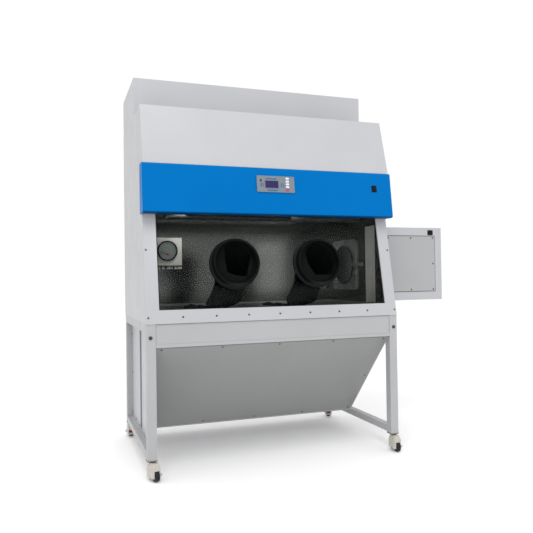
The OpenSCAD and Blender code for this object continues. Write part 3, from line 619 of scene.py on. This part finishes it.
def hand_mesh(port):
    """A flat empty glove hand with five fingers, joined from tapered bars and voxel-remeshed."""
    h = math.radians(44)
    along = Vector((-math.sin(h), math.cos(h), 0))
    side = Vector((math.cos(h), math.sin(h), 0))
    wrist = P(port - 112, 346, 881.5)
    bm = bmesh.new()

    def bar(points):
        rings = []
        for (a, s, z, w, t) in points:
            c = wrist + along * (a / 1000) + side * (s / 1000) + Vector((0, 0, z / 1000))
            rings.append([bm.verts.new(c + side * (w / 1000 * math.cos(q * math.pi / 8))
                                       + Vector((0, 0, t / 1000 * math.sin(q * math.pi / 8)))) for q in range(16)])
        for r0, r1 in zip(rings, rings[1:]):
            for q in range(16):
                bm.faces.new((r0[q], r0[(q + 1) % 16], r1[(q + 1) % 16], r1[q]))
        bm.faces.new(rings[0][::-1])
        bm.faces.new(rings[-1])

    bar([(-6, 0, 0, 40, 6.5), (16, 0, 0, 43, 7), (38, 0, 0.5, 46, 7.5), (62, -2, 0.5, 44, 7.5),
         (74, -2, 0.5, 38, 6.5)])
    for s0, s1, reach, curl in ((-33, -40, 44, 0), (-12, -15, 58, 1), (9, 9, 62, 3), (29, 33, 54, 9)):
        bar([(64, s0, 0.5, 9.5, 6.5), (80, (s0 + s1) / 2, 1 + curl * 0.2, 9.5, 6.8),
             (64 + reach * 0.6, s1, 1.5 + curl * 0.6, 9, 6.6), (64 + reach, s1 * 1.04, 1.5 + curl, 7.5, 5.6),
             (68 + reach, s1 * 1.05, 1.5 + curl, 4.5, 3.6)])
    bar([(14, 34, 1, 11, 7), (34, 50, 2, 10.5, 7), (54, 60, 3, 9.5, 6.6), (72, 64, 4, 7.5, 5.4),
         (76, 65, 4, 4, 3.2)])
    me = bpy.data.meshes.new("hand")
    bmesh.ops.recalc_face_normals(bm, faces=bm.faces)
    bm.to_mesh(me)
    bm.free()
    obj = bpy.data.objects.new("hand", me)
    bpy.context.scene.collection.objects.link(obj)
    mod = obj.modifiers.new("voxel", "REMESH")
    mod.mode = "VOXEL"
    mod.voxel_size = 0.0028
    sm = obj.modifiers.new("smooth", "SMOOTH")
    sm.factor, sm.iterations = 0.5, 6
    dg = bpy.context.evaluated_depsgraph_get()
    out = bpy.data.meshes.new_from_object(obj.evaluated_get(dg))
    bpy.data.objects.remove(obj)
    verts = [v.co.copy() for v in out.vertices]
    faces = [list(p.vertices) for p in out.polygons]
    return verts, faces


def glove(name, node, port, corners, centre, depth, seed):
    """A gauntlet of sheet rubber with its hand, in place of the CAD glove."""
    rings = mouth_rings(port, corners, centre, depth) + sleeve_rings(port, corners, centre, depth, seed)
    verts = [v for row in rings for v in row]
    n = RING_N
    faces = [[i * n + k, i * n + (k + 1) % n, (i + 1) * n + (k + 1) % n, (i + 1) * n + k]
             for i in range(len(rings) - 1) for k in range(n)]
    obj = piece(name, verts, faces, looks["black_rubber"], "black_rubber", sharp=38)
    thick = obj.modifiers.new("sheet", "SOLIDIFY")
    thick.thickness = 0.0012
    thick.offset = 0.0
    piece(name + "_hand", *hand_mesh(port), looks["black_rubber"], "black_rubber", sharp=180)
    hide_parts(node)


LEFT_MOUTH = [(-49, 124), (-50, 30), (-40, -46), (10, -64), (72, -70), (92, 6), (109, 78), (60, 124)]
RIGHT_MOUTH = [(-67, 57), (-53, -7), (-14, -69), (101, -70), (107, -30), (124, 12), (118, 68), (76, 122),
               (-7, 124), (-50, 100)]
for port, mouth, middle, deep, seed, node in ((-PORT_X, LEFT_MOUTH, (26, 24), 10, 0.4, "left_glove"),
                                              (PORT_X, RIGHT_MOUTH, (30, 24), -6, 2.1, "right_glove")):
    corners = [(x - middle[0], y - middle[1]) for x, y in mouth]
    glove(node + "_skin", node, port, corners, middle, deep, seed)


# ---------------------------------------------------------------- pressure gauge
G_LO, G_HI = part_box("gauge_case")
gauge = facing(Vector(((G_LO.x + G_HI.x) / 2, G_LO.y, (G_LO.z + G_HI.z) / 2)))
FACE = [(0, -9.4), (44, -9.4), (47.5, -9.0), (49.7, -7.6), (49.7, -10.0), (0, -10.0)]
piece("gauge_dial", *lathe(FACE, 96), DIAL, "white_button", at=gauge)
DOME = [(0, -0.6), (20, -0.8), (38, -1.4), (49.6, -2.4), (49.6, -3.6), (38, -2.9), (0, -2.2)]
piece("gauge_lens", *lathe(DOME, 96), LENS, "clear_glass", at=gauge)
marks = []
for k in range(41):
    a = math.radians(-50 + 280 * k / 40)
    tall = 7 if k % 10 == 0 else (5 if k % 5 == 0 else 3)
    wide = 0.9 if k % 5 == 0 else 0.5
    bar = prism(round_rect(wide, tall, 0.2, 2, 0, 42 - tall / 2), -9.4, -9.15)
    marks.append(moved(bar, Matrix.Rotation(a - math.pi / 2, 4, "Z")))
piece("gauge_scale", *merged(marks), INK, "black_plastic", at=gauge)
RIM = [(50.2, 0.0), (50.6, 0.7), (52.4, 1.0), (55.0, 0.7), (56.4, 0.0), (56.8, -0.8), (56.8, 0.0)]
piece("gauge_rim", *lathe(RIM, 96), looks["black_plastic"], "black_plastic", at=gauge)

plate = facing(Vector((P(-616, 0, 0).x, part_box("gauge_bracket")[0].y, 1.118)))
# painted shade: black bars on the gauge bracket stand for the shade in its slots and between its dashes
bars = [prism([(-98, 2.5), (98, 2.5), (98, 10), (-98, 10)], 0.1, 0.5)]
bars += [prism([(x - 4, -10), (x + 4, -10), (x + 4, 2.4), (x - 4, 2.4)], -2.6, -1.4) for x in (-62, -20, 8, 50)]
piece("gauge_slot_shade", *merged(bars), INK, "black_plastic", at=plate)

# ---------------------------------------------------------------- control panel
SCREEN_X, SCREEN_Z = -24, 1583.5
piece("display_pane", *prism(round_rect(80, 43, 1.5), 6.0, 7.0), SCREEN, "black_plastic",
      at=on_band(SCREEN_X, SCREEN_Z), bevel=0.3)
piece("display_rim", *frame_strip(round_rect(85, 48, 3), round_rect(79.4, 42.4, 1.5), 5.9, 7.8),
      looks["panel_grey"], "panel_grey", at=on_band(SCREEN_X, SCREEN_Z), bevel=0.4)
strips = [prism(round_rect(w, h, 1.5, 4, x, z), 5.9, 6.35) for x, z, w, h in
          ((-26, 1616, 66, 8), (-20, 1549, 62, 8), (-88, 1580, 9, 24), (-76, 1580, 5, 24), (34, 1580, 6, 26),
           (46, 1580, 6, 26))]
lifted = [([(v[0], v[1] - SCREEN_Z / 1000, v[2]) for v in vs], fs) for vs, fs in strips]
piece("label_strips", *merged(lifted), LABEL, "blue_paint", at=on_band(0, SCREEN_Z), bevel=0.2)
LAMP_DOME = [(0, 7.4), (4.5, 7.3), (6.6, 6.8), (7.6, 6.0), (7.6, 5.9), (0, 5.9)]
piece("signal_window", *lathe(LAMP_DOME, 40), DARK_PANE, "black_plastic", at=on_band(-89, 1605))

# ---------------------------------------------------------------- window and chamber details
HALF_OPEN, SILL = 679, 888
WINDOW_TOP = 1437
up = (WINDOW_TOP - SILL) / math.cos(LEAN)
outer = [(-HALF_OPEN - 0.5, -0.5), (HALF_OPEN + 0.5, -0.5), (HALF_OPEN + 0.5, up), (-HALF_OPEN - 0.5, up)]
inner = [(-HALF_OPEN + 5, 5), (HALF_OPEN - 5, 5), (HALF_OPEN - 5, up - 5), (-HALF_OPEN + 5, up - 5)]
# a black gasket round the window opening, which also paints the shade line along the opening's edge
piece("window_gasket_shade_line", *frame_strip([(x * 0.9993, max(y, 0.4)) for x, y in outer], inner, -11.7, -6.5), SEAL_AND_SHADE,
      "black_rubber", at=on_window(0, SILL), bevel=1.5)

# a thin skin of three strips on the right wall, in the light coat that paints the channel's sheen
channel = [prism([(y0, 0), (y1, 0), (y1, 498), (y0, 498)], 0.2, 0.2 + h)
           for y0, y1, h in ((-66, -8, 0.6), (-7, 30, 1.4), (31, 60, 0.5))]
piece("wall_channel_highlight", *merged(channel), looks["channel"], "stainless", at=facing_left(P(710, 238, 874)), bevel=0.4)

door_face = facing_left(Vector((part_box("inner_door")[0].x, P(0, 600, 0).y, 1.1305)))
PANE = [(0, -2.2), (118, -2.2), (122, -1.2), (134.6, -1.0), (134.6, -3.9), (0, -3.9)]
piece("inner_door_window", *lathe(PANE, 96), DARK_PANE, "black_plastic", "inner_door", at=door_face)

# ---------------------------------------------------------------- castor hubs
CASTORS = ("fl", "fr", "rl", "rr")
HUB = [(4.6, 11.4), (4.6, 12.5), (6.0, 12.8), (8.0, 12.2), (17.0, 12.1), (18.6, 12.6), (20.4, 12.3),
       (20.8, 11.4), (4.6, 11.4)]
for c, turn in zip(CASTORS, (18, 0, 180, 160)):
    lo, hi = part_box("castor_wheel_" + c)
    t = math.radians(turn)
    axle = Vector((math.cos(t), math.sin(t), 0))
    at = axle.to_track_quat("Z", "Y").to_matrix().to_4x4()
    at.translation = (lo + hi) / 2
    hub = merged([lathe(HUB, 48), moved(lathe(HUB, 48), Matrix.Rotation(math.pi, 4, "X"))])
    piece("hub_" + c, *hub, looks["black_plastic"], "black_plastic", "wheel_" + c, at=at)

# ---------------------------------------------------------------- roof spigot and mains inlet
spigot = Matrix.Translation(Vector((MID_X, P(0, 740, 0).y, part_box("exhaust_plenum")[1].z)))
BEAD = [(124.6, -7.0), (127.2, -5.6), (128.0, -3.6), (127.2, -1.4), (125.0, 0.4), (122.0, 0.4),
        (121.6, -2.0), (124.6, -7.0)]
piece("spigot_bead", *lathe(BEAD, 96), looks["white_paint"], "white_paint", at=spigot)
guard = [prism([(x - 1.6, -span), (x + 1.6, -span), (x + 1.6, span), (x - 1.6, span)], -16, -13)
         for x in range(-108, 109, 18) for span in [math.sqrt(122.5 ** 2 - (abs(x) + 1.6) ** 2)]]
brace = prism([(-1.6, -122), (1.6, -122), (1.6, 122), (-1.6, 122)], -19, -16.2)
guard.append(moved(brace, Matrix.Rotation(math.pi / 2, 4, "Z")))
piece("spigot_guard", *merged(guard), looks["screw_steel"], "screw_steel", at=spigot, bevel=0.5)
inlet = Matrix(((-1, 0, 0), (0, 0, 1), (0, 1, 0))).to_4x4()
inlet.translation = Vector((P(514, 0, 0).x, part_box("power_inlet")[1].y, 1.677))
pins = [prism(round_rect(1.6, 6, 0.5, 3, x, z), -13.5, -3.5) for x, z in ((-5, 5), (5, 5), (0, -6))]
piece("inlet_pins", *merged(pins), looks["stainless"], "stainless", at=inlet)

# ---------------------------------------------------------------- seams and recesses
C_LO, C_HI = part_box("passbox_cover")
cover = facing(Vector(((C_LO.x + C_HI.x) / 2, C_HI.y, (C_LO.z + C_HI.z) / 2)))
# painted shadow: a black strip round the pass-box cover stands for the shadow gap at its edge
piece("cover_shadow_gap", *frame_strip(round_rect(387, 381, 5), round_rect(379.4, 373.4, 4), 0.0, 1.4), SEAL_AND_SHADE,
      "black_rubber", at=cover, bevel=0.3)

slope_lean = math.radians(90) - math.atan2(522 - 8, 686 - 148)
slope = Matrix(((1, 0, 0), (0, -math.cos(slope_lean), -math.sin(slope_lean)),
                (0, math.sin(slope_lean), -math.cos(slope_lean)))).to_4x4()
slope.translation = P(0, 522, 148)
rim = [prism([(-697, 0.5), (697, 0.5), (697, 7), (-697, 7)], 0.1, 1.3),
       prism([(690, 7.2), (697, 7.2), (697, 742), (690, 742)], 0.1, 1.3)]
piece("sump_rim", *merged(rim), looks["white_paint"], "white_paint", at=slope, bevel=0.4)

S_LO, S_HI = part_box("side_cover")
cover_face = facing_left(Vector((P(-714, 0, 0).x, P(0, 501, 0).y, (S_LO.z + S_HI.z) / 2)))
tall = (S_HI.z - S_LO.z) * 1000 - 24
recess = [prism(round_rect(82, tall + 4, 2), -14, -13),
          frame_strip(round_rect(82, tall + 4, 2), round_rect(79, tall + 1, 1), -13.2, -2.2),
          prism(round_rect(3, tall - 20, 1, 3, 14, 0), -13, -11)]
piece("side_recess", *merged(recess), looks["recess"], "grey_paint", at=cover_face)

soften(1.6, "control_fascia")
soften(2.5, *["castor_housing_" + c for c in CASTORS], segments=3)
soften(1.5, "glove_port_rings", *["castor_wheel_" + c for c in CASTORS])
soften(1.2, "window_frame", "front_hood", "exhaust_plenum", "outer_door", "stand_frame")
soften(0.8, "passbox_shell", "left_side_panel", "right_side_panel", "front_apron", "side_cover", "passbox_cover",
       "gauge_bracket", "control_panel", "roof_panel", "sump_panel")

# ---------------------------------------------------------------- floor, light, camera
floor_look = Look("studio_floor")
tone = floor_look.ramp(floor_look.noise(1.5, 4), (0.3, (0.92, 0.92, 0.92)), (0.7, (0.94, 0.94, 0.94)))
bpy.ops.mesh.primitive_grid_add(x_subdivisions=4, y_subdivisions=4, size=60, location=(0, 0, 0))
floor = bpy.context.object
floor.name = "studio_floor"
matt = floor_look.shader(tone, 0.8, Specular_IOR_Level=0.1, Emission_Color=(1, 1, 1, 1), Emission_Strength=0.10)
floor.data.materials.append(floor_look.done(matt))

world = bpy.data.worlds.new("studio")
bpy.context.scene.world = world
world.use_nodes = True
world.node_tree.nodes["Background"].inputs["Color"].default_value = (1, 1, 1, 1)
world.node_tree.nodes["Background"].inputs["Strength"].default_value = 1.0


def area_light(name, at, aim, size, watts, colour=(1, 1, 1), size_y=None):
    data = bpy.data.lights.new(name, "AREA")
    data.energy = watts
    data.color = colour
    data.shape = "RECTANGLE" if size_y else "SQUARE"
    data.size = size
    if size_y:
        data.size_y = size_y
    obj = bpy.data.objects.new(name, data)
    bpy.context.scene.collection.objects.link(obj)
    obj.location = at
    obj.rotation_mode = "QUATERNION"
    obj.rotation_quaternion = (Vector(aim) - Vector(at)).to_track_quat("-Z", "Y")
    return obj


area_light("key", (-1.6, -3.8, 6.4), (0, 0, 1.3), 3.0, 150)
area_light("fill", (4.0, -3.5, 2.0), (0, 0, 1.0), 3.0, 8)
glow = area_light("chamber_glow", P(425, 300, 1130), P(425, 700, 1110), 0.22, 0.085, size_y=0.38)
glow.data.spread = math.radians(120)
area_light("gauge_glow", P(-500, 120, 1385), P(-615, 200, 1205), 0.2, 0.34).data.spread = math.radians(80)
area_light("wall_glow", P(150, 300, 1380), P(712, 240, 1120), 0.3, 1.1).data.spread = math.radians(120)

cam_data = bpy.data.cameras.new("view")
cam_data.lens = 40.573
cam_data.sensor_width = 36
cam_data.clip_start, cam_data.clip_end = 0.05, 100
cam = bpy.data.objects.new("view", cam_data)
bpy.context.scene.collection.objects.link(cam)
yaw, pitch, roll = (math.radians(v) for v in (19.4, 0.9, -0.8))
ahead = Vector((math.sin(yaw) * math.cos(pitch), math.cos(yaw) * math.cos(pitch), math.sin(pitch)))
side = Vector((math.cos(yaw), -math.sin(yaw), 0))
top = side.cross(ahead)
right = side * math.cos(roll) + top * math.sin(roll)
above = top * math.cos(roll) - side * math.sin(roll)
pose = Matrix((right, above, -ahead)).transposed().to_4x4()
pose.translation = P(-1196.5, -3172.0, 1061.4)
cam.matrix_world = pose
bpy.context.scene.camera = cam
bpy.context.scene.view_settings.view_transform = "Standard"
